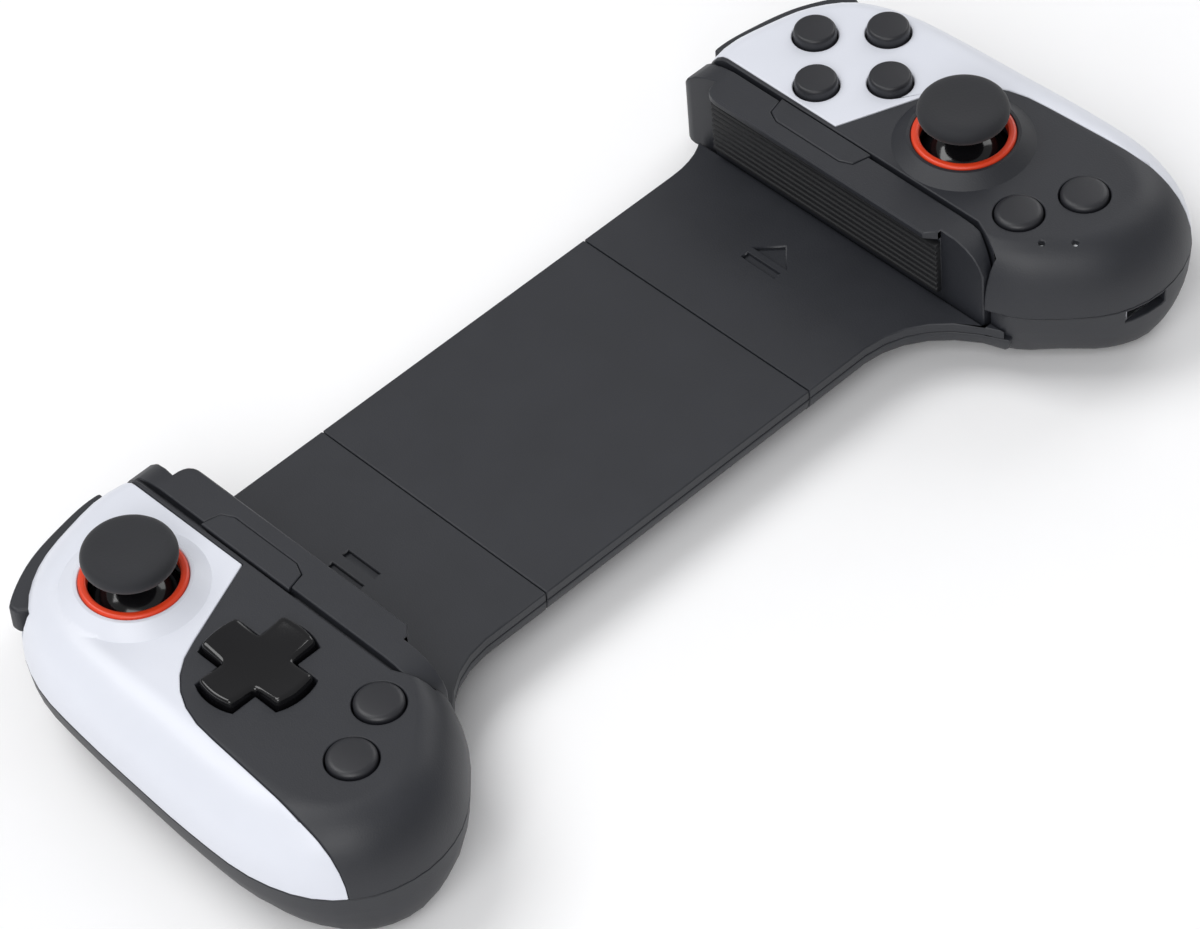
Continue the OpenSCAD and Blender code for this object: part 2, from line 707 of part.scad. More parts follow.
// Right tongue with its rack, the left one is the same piece turned half round
module rack() {
    pitch = PI * tooth_module;
    slope = tan(pressure_angle);
    half_gap = pitch / 4 + backlash / 4;
    last = floor((rack_tail - 1) / pitch);
    gaps = [for (k = [-last:floor(toothed_end / pitch) - 1]) k * pitch];
    tip = addendum - pitch_radius;
    translate([0, 0, rack_bottom]) linear_extrude(rack_top - rack_bottom) difference() {
        polygon([[-rack_tail, -rack_side], [rack_foot, -rack_side], [rack_foot, -rack_root],
            [toothed_end, -rack_root], [toothed_end, tip], [-rack_tail, tip]]);
        for (x = gaps) polygon([
            [x - half_gap + dedendum * slope, -rack_root], [x + half_gap - dedendum * slope, -rack_root],
            [x + half_gap + addendum * 2 * slope, tip + addendum], [x - half_gap - addendum * 2 * slope, tip + addendum]]);
    }
    for (spot = peg_spots)
        translate([spot[0], spot[1], tray_bottom + 0.4]) cylinder(h = rack_top - tray_bottom - 0.4, r = peg_radius);
}

module coil_spring() {
    first = spring_inner + post_radius + wire_radius + 0.3;
    last = spring_outer - post_radius - wire_radius - 0.3;
    sides = 6;
    around = 10;
    steps = coil_turns * around;
    loft([for (k = [0:steps]) let (a = -360 * k / around, x = first + (last - first) * k / steps)
        [for (i = [0:sides - 1]) let (b = 360 * i / sides, r = coil_radius + wire_radius * cos(b))
            [x + wire_radius * sin(b), -spring_y + r * cos(a), spring_z + r * sin(a)]]]);
}

// Circuit board with the switches soldered to it
module board(side) {
    path = outline();
    switches = side == RIGHT ? concat(small_spots(), face_spots()) : small_spots();
    difference() {
        union() {
            intersection() {
                translate([0, 0, board_bottom]) linear_extrude(board_thickness)
                    polygon([for (k = [0:len(path) - 1]) flat(path[k]) + board_inset * inward(path, k)]);
                translate([grip_x + board_start, board_ends[0], board_bottom - 1])
                    cube([reach, board_ends[1] - board_ends[0], board_thickness + 2]);
            }
            if (side == RIGHT)
                translate([grip_x + socket_spot[0] - socket_tab / 2, socket_spot[1] + socket_size.y + socket_inset + seam_gap, board_bottom])
                    cube([socket_tab, socket_tab, board_thickness]);
            for (spot = switches)
                translate([grip_x + spot[0], spot[1], board_top - 0.5]) cylinder(h = switch_height + 0.5, r = switch_radius);
        }
        for (spot = boss_spots)
            translate([grip_x + spot[0], spot[1], 0]) cylinder(h = 20, r = screw_radius + 0.3, center = true);
    }
}

module shell_screws() {
    for (spot = boss_spots) translate([grip_x + spot[0], spot[1], head_seat]) {
        translate([0, 0, -head_height]) cylinder(h = head_height, r = head_radius);
        translate([0, 0, -0.1]) cylinder(h = screw_top - head_seat, r = screw_radius);
    }
}

// Stick pieces, drawn about their own pivot
module at_stick(side) {
    spot = side == RIGHT ? right_stick : left_stick;
    translate([grip_x + spot[0], spot[1], 0]) children();
}

module stick_ring() {
    outside = ring_diameter / 2;
    soft = 0.5;
    rotate_extrude() polygon([[ring_inside, ring_foot + seam_gap], [outside, ring_foot + seam_gap],
        [outside, ring_top - soft], [outside - soft, ring_top], [ring_inside + soft, ring_top], [ring_inside, ring_top - soft]]);
}

module stick_base() {
    difference() {
        union() {
            translate([-base_half, -base_half, board_top]) cube([2 * base_half, 2 * base_half, base_floor - board_top]);
            for (s = [-1, 1])
                translate([s > 0 ? lug_inside : -base_half, -2, board_top])
                    cube([base_half - lug_inside, 4, pivot_z + 2 - board_top]);
        }
        translate([0, 0, pivot_z]) rotate([0, 90, 0]) cylinder(h = 40, r = pin_radius + pin_gap, center = true);
    }
}

module stick_yoke() {
    translate([0, 0, pivot_z]) difference() {
        union() {
            cube([2 * yoke_half, 2 * yoke_half, yoke_height], center = true);
            rotate([0, 90, 0]) cylinder(h = 2 * base_half - 0.4, r = pin_radius, center = true);
        }
        cube([2 * yoke_inner, 2 * yoke_inner, 2 * yoke_height], center = true);
        rotate([90, 0, 0]) cylinder(h = 40, r = pin_radius + pin_gap, center = true);
    }
}

module stick_pivot() {
    translate([0, 0, pivot_z]) difference() {
        union() {
            cube([2 * hub_half, 2 * hub_half, 4.4], center = true);
            rotate([90, 0, 0]) cylinder(h = 2 * yoke_half, r = pin_radius, center = true);
        }
        cylinder(h = 40, r = shaft_radius + pin_gap, center = true);
    }
}

module stick_stem() {
    inside = dome_radius - dome_wall;
    arc = [for (k = [0:10]) dome_reach * k / 10];
    rotate_extrude() translate([0, pivot_z]) polygon(concat(
        [[0, -3.4], [shaft_radius, -3.4], [shaft_radius, sqrt(inside * inside - shaft_radius * shaft_radius)]],
        [for (a = arc) if (inside * sin(a) > shaft_radius + 0.1) inside * [sin(a), cos(a)]],
        [for (a = reversed(arc)) if (dome_radius * sin(a) > neck_radius + 0.1) dome_radius * [sin(a), cos(a)]],
        [[neck_radius, sqrt(dome_radius * dome_radius - neck_radius * neck_radius)],
        [neck_radius, cap_bottom + 1.9 - pivot_z], [0, cap_bottom + 1.9 - pivot_z]]));
}

module stick_cap() {
    r = cap_radius;
    socket = neck_radius + 0.02;
    rotate_extrude() translate([0, cap_bottom]) polygon([[0, 1.92], [socket, 1.92], [socket, 0], [0.6 * r, 0],
        [0.93 * r, 0.7], [r, 1.7], [0.99 * r, 3.1], [0.92 * r, 4], [0.8 * r, 4.2], [0.55 * r, 3.4], [0, 3]]);
}

// Button with a flange under its guide and a plunger over its switch
module push_button(spot, diameter, rise, soft) {
    r = diameter / 2;
    top = face_height + rise;
    flange_top = guide_bottom - fit_gap;
    translate([grip_x + spot[0], spot[1], 0]) rotate_extrude() polygon([[0, plunger_bottom], [plunger_radius, plunger_bottom],
        [plunger_radius, flange_top - flange_thickness], [r + flange_width, flange_top - flange_thickness],
        [r + flange_width, flange_top], [r, flange_top], [r, top - soft], [r - 0.3 * soft, top - 0.3 * soft],
        [r - soft, top], [0, top + 0.2]]);
}

// Bumper along the top edge of a grip, standing further out towards its outer end
module bumper() {
    share = [for (k = [0:bumper_steps]) k / bumper_steps];
    function proud(s) = bumper_proud * pow(s, 3) * (1 - pow(2 * s - 1, bumper_bluntness));
    outside = [for (s = share) moved_at(bumper_from + (bumper_to - bumper_from) * s, -proud(s))];
    inside = [for (s = share) moved_at(bumper_from + (bumper_to - bumper_from) * s, bumper_depth)];
    translate([0, 0, bumper_bottom]) linear_extrude(bumper_top - bumper_bottom) polygon(concat(outside, reversed(inside)));
}

// Trigger lever on its pin
module trigger() {
    y = trigger_hinge[0];
    z = trigger_hinge[1];
    tip = trigger_tip;
    width = trigger_to - trigger_from;
    shoulder = 5.4;
    difference() {
        translate([grip_x + trigger_from, 0, 0]) rotate([90, 0, 90]) {
            translate(trigger_hinge) cylinder(h = width, r = trigger_eye);
            linear_extrude(width) polygon(concat([[y, z + trigger_eye - 0.3]],
                bezier([y + shoulder, z + trigger_eye], [y + 2 * shoulder, z + trigger_eye], tip, flare_steps),
                bezier([tip[0] - 1.8, tip[1] - 0.4], [y + 9, z - 3.5], [y + shoulder, z - trigger_eye], flare_steps),
                [[y, z + 0.3 - trigger_eye]]));
        }
        trigger_bore(pin_radius + pin_gap);
    }
}

module trigger_pin() {
    translate([grip_x + trigger_from - trigger_lug, trigger_hinge[0], trigger_hinge[1]])
        rotate([0, 90, 0]) cylinder(h = trigger_to - trigger_from + 2 * trigger_lug, r = pin_radius);
}

// Direction pad, rocking both ways on a cross-shaped spider
module at_dpad() {
    translate([grip_x + dpad_spot[0], dpad_spot[1], 0]) children();
}

module dpad() {
    dish_radius = (dpad_span * dpad_span / 4 + dpad_dish * dpad_dish) / 2 / dpad_dish;
    difference() {
        union() {
            translate([0, 0, dpad_flange_z]) linear_extrude(dpad_top - dpad_flange_z) dpad_shape(0);
            translate([0, 0, dpad_flange_z]) cylinder(h = dpad_flange, r = dpad_span / 2 + 1.6);
        }
        translate([0, 0, dpad_top - dpad_dish + dish_radius]) sphere(r = dish_radius);
        translate([0, 0, dpad_flange_z - 1]) cylinder(h = dpad_pivot_z + dpad_roof - dpad_flange_z + 1, r = dpad_cavity);
        translate([0, 0, dpad_pivot_z]) rotate([90, 0, 0])
            cylinder(h = 2 * dpad_cavity + 2.8, r = dpad_pin + pin_gap, center = true);
    }
}

module dpad_spider() {
    translate([0, 0, dpad_pivot_z]) {
        rotate([0, 90, 0]) cylinder(h = 2 * (fork_x + fork_wall), r = dpad_pin, center = true);
        rotate([90, 0, 0]) cylinder(h = 2 * dpad_cavity + 2.4, r = dpad_pin, center = true);
    }
}

module dpad_post() {
    outside = fork_x + fork_wall;
    difference() {
        translate([-outside, -fork_half, board_top]) cube([2 * outside, 2 * fork_half, dpad_pivot_z + 1.3 - board_top]);
        translate([-fork_x, -outside, dpad_pivot_z - 2.5]) cube([2 * fork_x, 2 * outside, 10]);
        translate([0, 0, dpad_pivot_z]) rotate([0, 90, 0]) cylinder(h = 20, r = dpad_pin + pin_gap, center = true);
    }
}

module battery() {
    translate([grip_x + battery_low.x, battery_low.y, battery_bottom]) cube(battery_size);
}

module charge_socket() {
    wall_t = 0.5;
    translate([grip_x + socket_spot[0], socket_spot[1] + socket_inset, socket_bottom]) difference() {
        translate([-socket_size.x / 2, 0, 0]) cube(socket_size);
        translate([-socket_size.x / 2 + wall_t, -1, wall_t]) cube([socket_size.x - 2 * wall_t, 6.5, socket_size.z - 2 * wall_t]);
    }
}

module status_lights() {
    for (spot = light_spots)
        translate([grip_x + spot[0], spot[1], ceiling - 3]) cylinder(h = upper_wall + 1.6, r = light_radius);
}

// Puts a piece into the part's frame, mirrored for the left side
module place(side = RIGHT) {
    translate([0, frame_y, grip_drop]) {
        if (side == LEFT) mirror([1, 0, 0]) children();
        else children();
    }
}

charcoal = "#2b2c30";
black = "#151517";
white = "#e4e6ee";
orange = "#e2401f";
steel = "#9a9ca0";

// Pieces
color(charcoal) place(RIGHT) centre_tray();
color(charcoal) place(RIGHT) centre_cover();
color(steel) place(RIGHT) centre_screws();
color(white) place(RIGHT) pinion();
color(charcoal) place(RIGHT) rotate([0, 0, 180]) rack();  // left_rack
color(charcoal) place(RIGHT) rack();  // right_rack
color(steel) place(RIGHT) rotate([0, 0, 180]) coil_spring();  // left_spring
color(steel) place(RIGHT) coil_spring();  // right_spring
color(charcoal) place(LEFT) lower_shell(LEFT);  // left_lower_shell
color(charcoal) place(RIGHT) lower_shell(RIGHT);  // right_lower_shell
color(charcoal) place(LEFT) arm_cover(LEFT);  // left_arm_cover
color(charcoal) place(RIGHT) arm_cover(RIGHT);  // right_arm_cover
color(charcoal) place(LEFT) upper_shell(LEFT);  // left_upper_shell
color(charcoal) place(RIGHT) upper_shell(RIGHT);  // right_upper_shell
color(white) place(LEFT) faceplate(LEFT);  // left_faceplate
color(white) place(RIGHT) faceplate(RIGHT);  // right_faceplate
color(charcoal) place(LEFT) clamp();  // left_clamp
color(charcoal) place(RIGHT) clamp();  // right_clamp
color(black) place(LEFT) clamp_pad();  // left_clamp_pad
color(black) place(RIGHT) clamp_pad();  // right_clamp_pad
color(black) place(LEFT) clamp_tab();  // left_clamp_tab
color(black) place(RIGHT) clamp_tab();  // right_clamp_tab
color("#1f5a35") place(LEFT) board(LEFT);  // left_board
color("#1f5a35") place(RIGHT) board(RIGHT);  // right_board
color(steel) place(LEFT) shell_screws();  // left_screws
color(steel) place(RIGHT) shell_screws();  // right_screws
color(orange) place(LEFT) at_stick(LEFT) stick_ring();  // left_stick_ring
color(orange) place(RIGHT) at_stick(RIGHT) stick_ring();  // right_stick_ring
color(black) place(LEFT) at_stick(LEFT) stick_base();  // left_stick_base
color(black) place(RIGHT) at_stick(RIGHT) stick_base();  // right_stick_base
color(steel) place(LEFT) at_stick(LEFT) stick_yoke();  // left_stick_yoke
color(steel) place(RIGHT) at_stick(RIGHT) stick_yoke();  // right_stick_yoke
color(black) place(LEFT) at_stick(LEFT) stick_pivot();  // left_stick_pivot
color(black) place(RIGHT) at_stick(RIGHT) stick_pivot();  // right_stick_pivot
color(black) place(LEFT) at_stick(LEFT) stick_stem();  // left_stick_stem
color(black) place(RIGHT) at_stick(RIGHT) stick_stem();  // right_stick_stem
color(charcoal) place(LEFT) at_stick(LEFT) stick_cap();  // left_stick_cap
color(charcoal) place(RIGHT) at_stick(RIGHT) stick_cap();  // right_stick_cap
color(charcoal) place(LEFT) bumper();  // left_bumper
color(charcoal) place(RIGHT) bumper();  // right_bumper
color(charcoal) place(LEFT) trigger();  // left_trigger
color(charcoal) place(RIGHT) trigger();  // right_trigger
color(steel) place(LEFT) trigger_pin();  // left_trigger_pin
color(steel) place(RIGHT) trigger_pin();  // right_trigger_pin
color(charcoal) place(LEFT) push_button(inner_button, small_button_diameter, 0.8, 0.8);  // left_inner_button
color(charcoal) place(RIGHT) push_button(inner_button, small_button_diameter, 0.8, 0.8);  // right_inner_button
color(charcoal) place(LEFT) push_button(outer_button, small_button_diameter, 0.8, 0.8);  // left_outer_button
color(charcoal) place(RIGHT) push_button(outer_button, small_button_diameter, 0.8, 0.8);  // right_outer_button
color(black) place(LEFT) at_dpad() dpad();
color(steel) place(LEFT) at_dpad() dpad_spider();
color(black) place(LEFT) at_dpad() dpad_post();
color("#3a4f8a") place(LEFT) battery();
color(charcoal) place(RIGHT) push_button(face_spots()[0], face_button_diameter, face_button_rise, 0.7);  // button_north
color(charcoal) place(RIGHT) push_button(face_spots()[1], face_button_diameter, face_button_rise, 0.7);  // button_east
color(charcoal) place(RIGHT) push_button(face_spots()[2], face_button_diameter, face_button_rise, 0.7);  // button_south
color(charcoal) place(RIGHT) push_button(face_spots()[3], face_button_diameter, face_button_rise, 0.7);  // button_west
color(steel) place(RIGHT) charge_socket();
color(white) place(RIGHT) status_lights();
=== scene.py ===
"""Mobile game controller: finishes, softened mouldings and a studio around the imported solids."""

import json
import math

import bmesh
import bpy
from mathutils import Matrix, Vector

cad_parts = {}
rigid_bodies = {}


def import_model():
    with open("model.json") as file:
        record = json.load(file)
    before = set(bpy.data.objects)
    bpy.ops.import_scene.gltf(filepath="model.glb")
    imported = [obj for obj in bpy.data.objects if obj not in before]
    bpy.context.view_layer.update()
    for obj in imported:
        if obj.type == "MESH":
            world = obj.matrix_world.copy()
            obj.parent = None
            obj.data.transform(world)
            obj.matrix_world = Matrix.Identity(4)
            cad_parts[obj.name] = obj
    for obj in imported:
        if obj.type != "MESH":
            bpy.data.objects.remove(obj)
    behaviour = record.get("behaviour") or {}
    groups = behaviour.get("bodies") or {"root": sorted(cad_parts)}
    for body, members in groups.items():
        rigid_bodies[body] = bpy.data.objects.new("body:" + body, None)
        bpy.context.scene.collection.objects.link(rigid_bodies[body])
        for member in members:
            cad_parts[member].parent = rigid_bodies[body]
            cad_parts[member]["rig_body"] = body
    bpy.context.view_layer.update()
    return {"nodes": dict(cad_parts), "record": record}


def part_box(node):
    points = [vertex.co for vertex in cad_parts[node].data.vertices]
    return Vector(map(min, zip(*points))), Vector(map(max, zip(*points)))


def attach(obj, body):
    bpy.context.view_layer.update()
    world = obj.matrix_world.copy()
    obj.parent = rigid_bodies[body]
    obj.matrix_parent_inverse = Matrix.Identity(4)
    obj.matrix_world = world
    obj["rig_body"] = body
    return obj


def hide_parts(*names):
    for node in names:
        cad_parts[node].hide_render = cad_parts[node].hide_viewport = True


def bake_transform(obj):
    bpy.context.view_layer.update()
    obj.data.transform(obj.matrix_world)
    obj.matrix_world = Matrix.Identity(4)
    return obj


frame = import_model()
MM = 0.001
SIDES = ("left_", "right_")
ABS_IOR = 1.53

# Longest edges that are dropped from a solid's mesh, in millimetres
FINE_MERGE = 0.002
PLATE_MERGE = 0.13

# Angles between faces in degrees, over which an edge is shaded or rounded as one
SHARP = 32
SHELL_STEEP = 46
CLAMP_STEEP = 50
WIRE_SHARP = 75
BUTTON_SHARP = 14
ALL_SMOOTH = 180

bl_info = {
    "name": "Mobile Game Controller",
    "version": (1, 0, 0),
    "blender": (4, 5, 0),
    "location": "View3D > Sidebar > Controller",
    "description": "Builds the looks of a telescopic game controller",
    "category": "Object",
}


def linear(text):
    """Linear colour of an sRGB hex value."""
    channels = [int(text[k:k + 2], 16) / 255 for k in (1, 3, 5)]
    return [c / 12.92 if c <= 0.04045 else ((c + 0.055) / 1.055) ** 2.4 for c in channels]


class ControllerColours(bpy.types.PropertyGroup):
    """Colours of the visible finishes."""
    charcoal: bpy.props.FloatVectorProperty(
        name="Charcoal", description="Textured shells, bridge and clamps",
        subtype="COLOR", default=linear("#212329"))
    white: bpy.props.FloatVectorProperty(
        name="White", description="Satin plates on the grips",
        subtype="COLOR", default=linear("#dde0e9"))
    orange: bpy.props.FloatVectorProperty(
        name="Orange", description="Rings round the sticks",
        subtype="COLOR", default=linear("#e2401c"))
    polished: bpy.props.FloatVectorProperty(
        name="Polished black", description="Direction pad and stick domes",
        subtype="COLOR", default=linear("#111113"))
    button: bpy.props.FloatVectorProperty(
        name="Button", description="Round push buttons",
        subtype="COLOR", default=linear("#202126"))
    rubber: bpy.props.FloatVectorProperty(
        name="Rubber", description="Stick caps",
        subtype="COLOR", default=linear("#232428"))
    pad: bpy.props.FloatVectorProperty(
        name="Pad rubber", description="Ribbed pads in the clamps",
        subtype="COLOR", default=linear("#121316"))
    floor: bpy.props.FloatVectorProperty(
        name="Floor", description="Studio floor",
        subtype="COLOR", default=linear("#fdfdfe"))


class ControllerSizes(bpy.types.PropertyGroup):
    """Sizes of the softened edges, in metres."""
    shell_edge: bpy.props.FloatProperty(
        name="Shell edge", description="Rounding of the shells' seams",
        default=0.22 * MM, unit="LENGTH", precision=5)
    clamp_edge: bpy.props.FloatProperty(
        name="Clamp edge", description="Rounding of the clamps' edges",
        default=0.25 * MM, unit="LENGTH", precision=5)
    deck_edge: bpy.props.FloatProperty(
        name="Deck edge", description="Rounding of the bridge covers",
        default=0.25 * MM, unit="LENGTH", precision=5)
    shoulder_edge: bpy.props.FloatProperty(
        name="Shoulder edge", description="Rounding of the bumpers and triggers",
        default=0.6 * MM, unit="LENGTH", precision=5)
    rib_edge: bpy.props.FloatProperty(
        name="Rib edge", description="Rounding of the pads' ribs and the stems",
        default=0.12 * MM, unit="LENGTH", precision=5)
    ring_edge: bpy.props.FloatProperty(
        name="Ring edge", description="Rounding of the stick rings",
        default=0.55 * MM, unit="LENGTH", precision=5)
    pad_edge: bpy.props.FloatProperty(
        name="Direction pad edge", description="Rounding of the direction pad",
        default=1.3 * MM, unit="LENGTH", precision=5)
    button_edge: bpy.props.FloatProperty(
        name="Button edge", description="Rounding of the round buttons",
        default=0.22 * MM, unit="LENGTH", precision=5)


def colours():
    return bpy.context.scene.controller_colours


def sizes():
    return bpy.context.scene.controller_sizes


# Materials

def add(tree, kind, links=None, values=None):
    """Adds a node with its socket values and links."""
    made = tree.nodes.new(kind)
    for socket, value in (values or {}).items():
        made.inputs[socket].default_value = value
    for socket, source in (links or {}).items():
        tree.links.new(source, made.inputs[socket])
    return made


def moulded(name, colour, roughness, grain, depth, variation, sockets):
    """A moulded or pressed surface: fine grain in the relief, slow drift in tone and roughness."""
    known = bpy.data.materials.get(name)
    if known:
        return known
    material = bpy.data.materials.new(name)
    material.use_nodes = True
    tree = material.node_tree
    tree.nodes.clear()
    drift_size = 12 * MM
    dull_span = 0.05
    tone_places = (0.3, 0.7)
    tone_shares = (1 - variation, 1 + variation)
    place = add(tree, "ShaderNodeTexCoord").outputs["Object"]
    drift = add(tree, "ShaderNodeTexNoise", {"Vector": place},
                {"Scale": 1 / drift_size, "Detail": 3.0, "Roughness": 0.55})
    ramp = add(tree, "ShaderNodeValToRGB", {"Fac": drift.outputs["Fac"]})
    for element, position, share in zip(ramp.color_ramp.elements, tone_places, tone_shares):
        element.position = position
        element.color = [min(c * share, 1.0) for c in colour] + [1.0]
    dull = add(tree, "ShaderNodeMapRange", {"Value": drift.outputs["Fac"]},
               {"To Min": roughness - dull_span, "To Max": roughness + dull_span})
    grit = add(tree, "ShaderNodeTexNoise", {"Vector": place},
               {"Scale": 1 / grain, "Detail": 2.0, "Roughness": 0.5})
    relief = add(tree, "ShaderNodeBump", {"Height": grit.outputs["Fac"]},
                 {"Strength": 0.6, "Distance": depth})
    looks = {"Base Color": ramp.outputs["Color"], "Roughness": dull.outputs["Result"],
             "Normal": relief.outputs["Normal"]}
    surface = add(tree, "ShaderNodeBsdfPrincipled", looks, sockets)
    add(tree, "ShaderNodeOutputMaterial", {"Surface": surface.outputs["BSDF"]})
    return material


# ABS moulded against a spark-eroded tool: an even matte grain with soft broad highlights
def charcoal_abs():
    return moulded("charcoal_abs", colours().charcoal, 0.52, 0.35 * MM, 0.05 * MM, 0.07,
                   {"IOR": ABS_IOR, "Specular IOR Level": 0.52})


# ABS moulded against a fine stoned tool: a satin shell, almost without grain
def white_abs():
    return moulded("white_abs", colours().white, 0.34, 0.8 * MM, 0.006 * MM, 0.012, {"IOR": ABS_IOR})


# ABS of the buttons, moulded against a finer grain than the shells
def button_abs():
    return moulded("button_abs", colours().button, 0.46, 0.3 * MM, 0.02 * MM, 0.06, {"IOR": ABS_IOR})


# Polished ABS with a clear gloss that mirrors the softboxes
def polished_abs():
    return moulded("polished_abs", colours().polished, 0.12, 2.5 * MM, 0.006 * MM, 0.05, {"IOR": ABS_IOR})


# Coloured ABS, satin
def orange_abs():
    return moulded("orange_abs", colours().orange, 0.36, 0.6 * MM, 0.008 * MM, 0.04, {"IOR": ABS_IOR})


# Silicone rubber, dusted and dull
def cap_rubber():
    return moulded("cap_rubber", colours().rubber, 0.74, 0.5 * MM, 0.06 * MM, 0.12,
                   {"IOR": 1.43, "Sheen Weight": 0.12, "Sheen Roughness": 0.5})


# Thermoplastic rubber of the pads, darker than the shells
def pad_rubber():
    return moulded("pad_rubber", colours().pad, 0.62, 0.5 * MM, 0.04 * MM, 0.1, {"IOR": 1.5})


# Bare acetal of the gear pieces
def acetal():
    return moulded("acetal", linear("#d9d7cf"), 0.42, 0.6 * MM, 0.01 * MM, 0.03, {"IOR": 1.48})


# Bare black ABS of the inner mouldings
def inner_abs():
    return moulded("inner_abs", linear("#1d1d20"), 0.5, 0.5 * MM, 0.02 * MM, 0.08, {"IOR": ABS_IOR})


# Zinc-plated steel of screws, pins and springs
def plated_steel():
    return moulded("plated_steel", linear("#b9bbbf"), 0.32, 0.4 * MM, 0.01 * MM, 0.06, {"Metallic": 1.0})


# Glass-fibre board under green lacquer
def lacquered_board():
    return moulded("lacquered_board", linear("#1f5a35"), 0.3, 1.2 * MM, 0.02 * MM, 0.15, {"IOR": 1.5})


# Heat-shrunk PVC round the cell
def shrink_wrap():
    return moulded("shrink_wrap", linear("#3a4f8a"), 0.28, 3 * MM, 0.05 * MM, 0.08, {"IOR": 1.53})


# Clear acrylic of the light guides, dark when unlit
def light_guide():
    return moulded("light_guide", linear("#2e1512"), 0.5, 1 * MM, 0.004 * MM, 0.03, {"IOR": 1.49})


# Matt paint of the studio floor
def floor_paint():
    return moulded("painted_floor", colours().floor, 0.8, 4 * MM, 0.01 * MM, 0.004, {"IOR": 1.45})


# Meshes

def started(node, merge=FINE_MERGE):
    """A copy of a solid's mesh, with its flat faces joined and edges up to the merge length dropped."""
    flat = math.radians(0.3)
    bm = bmesh.new()
    bm.from_mesh(frame["nodes"][node].data)
    bmesh.ops.remove_doubles(bm, verts=bm.verts, dist=merge * MM)
    bmesh.ops.dissolve_degenerate(bm, edges=bm.edges, dist=merge * MM)
    bmesh.ops.dissolve_limit(bm, angle_limit=flat, verts=bm.verts, edges=bm.edges)
    return bm


def spun(node, profile, closed=False, steps=96):
    """A piece turned about a node's upright middle, from radii and heights over its foot in millimetres."""
    closeness = 0.001 * MM
    bm = bmesh.new()
    verts = [bm.verts.new((radius * MM, 0.0, height * MM)) for radius, height in profile]
    pairs = list(zip(verts, verts[1:]))
    if closed:
        pairs.append((verts[-1], verts[0]))
    edges = [bm.edges.new(pair) for pair in pairs]
    bmesh.ops.spin(bm, geom=verts + edges, cent=(0, 0, 0), axis=(0, 0, 1), angle=2 * math.pi, steps=steps,
                   use_merge=True)
    bmesh.ops.remove_doubles(bm, verts=bm.verts, dist=closeness)
    bmesh.ops.recalc_face_normals(bm, faces=bm.faces)
    bmesh.ops.translate(bm, vec=foot(node), verts=bm.verts)
    return bm


def foot(node):
    """The lowest point on a node's upright middle."""
    low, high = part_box(node)
    return Vector(((low.x + high.x) / 2, (low.y + high.y) / 2, low.z))


def measures(node):
    """Radius of a round node's widest part and its height, in millimetres."""
    low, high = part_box(node)
    return (high.x - low.x) / 2 / MM, (high.z - low.z) / MM


def mark_edges(bm, sharp, steep):
    """Marks edges over the sharp angle for shading, and outer ones over the steep angle for rounding.

    The two sides of a needle corner are not rounded, because their rounded strips would cross.
    """
    needle = math.radians(25)
    weight = bm.edges.layers.float.new("bevel_weight_edge")
    for line in bm.edges:
        bend = math.degrees(line.calc_face_angle(0.0))
        line.smooth = bend < sharp
        line[weight] = 1.0 if line.is_convex and bend >= steep else 0.0
    for face in bm.faces:
        face.smooth = True
        for corner in face.loops:
            sides = (corner.edge, corner.link_loop_prev.edge)
            if corner.calc_angle() < needle and not any(line.smooth for line in sides):
                for line in sides:
                    line[weight] = 0.0


def soften(piece, edge, segments):
    """Rounds the marked edges of a piece and evens out its shading."""
    soft = piece.modifiers.new("soft_edges", "BEVEL")
    soft.width = edge
    soft.segments = segments
    soft.limit_method = "WEIGHT"
    soft.use_clamp_overlap = False
    soft.miter_outer = "MITER_ARC"
    even = piece.modifiers.new("even_shading", "WEIGHTED_NORMAL")
    even.keep_sharp = True
    even.weight = 80


def finished(bm, node, material, edge=None, sharp=SHARP, steep=None, segments=2, rounds=0, across=None):
    """Turns a mesh into the piece that stands for a node, with softened edges or a rounded cage.

    A piece that crosses a joint is given its two bodies and end points in across; it is then left unattached
    to any body, and those bodies and points are not used.
    """
    name = "soft_" + node
    mark_edges(bm, sharp, steep or sharp)
    mesh = bpy.data.meshes.new(name)
    bm.to_mesh(mesh)
    bm.free()
    mesh.materials.append(material)
    piece = bpy.data.objects.new(name, mesh)
    bpy.context.scene.collection.objects.link(piece)
    if rounds:
        cage = piece.modifiers.new("rounded_cage", "SUBSURF")
        cage.levels = rounds
        cage.render_levels = rounds
    if edge:
        soften(piece, edge, segments)
    if across:
        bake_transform(piece)
    else:
        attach(piece, frame["nodes"][node]["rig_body"])
    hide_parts(node)


class ControllerPiece:
    """Shared settings of the operators."""
    bl_options = {"REGISTER", "UNDO"}


class CONTROLLER_OT_bridge(ControllerPiece, bpy.types.Operator):
    """Softens the telescopic bridge's tray, cover and arm covers, and gives its springs a plated finish, left
    unattached in place
    """
    bl_idname = "controller.bridge"
    bl_label = "Bridge"

    def execute(self, context):
        for node in ("centre_tray", "centre_cover", "left_arm_cover", "right_arm_cover"):
            finished(started(node), node, charcoal_abs(), sizes().deck_edge)
        for side in SIDES:
            node = side + "spring"
            inner, outer = sorted((corner[0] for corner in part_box(node)), key=abs)
            ends = ("centre", side + "grip", (inner, 0, 0), (outer, 0, 0))
            finished(started(node), node, plated_steel(), sharp=WIRE_SHARP, across=ends)
        return {"FINISHED"}


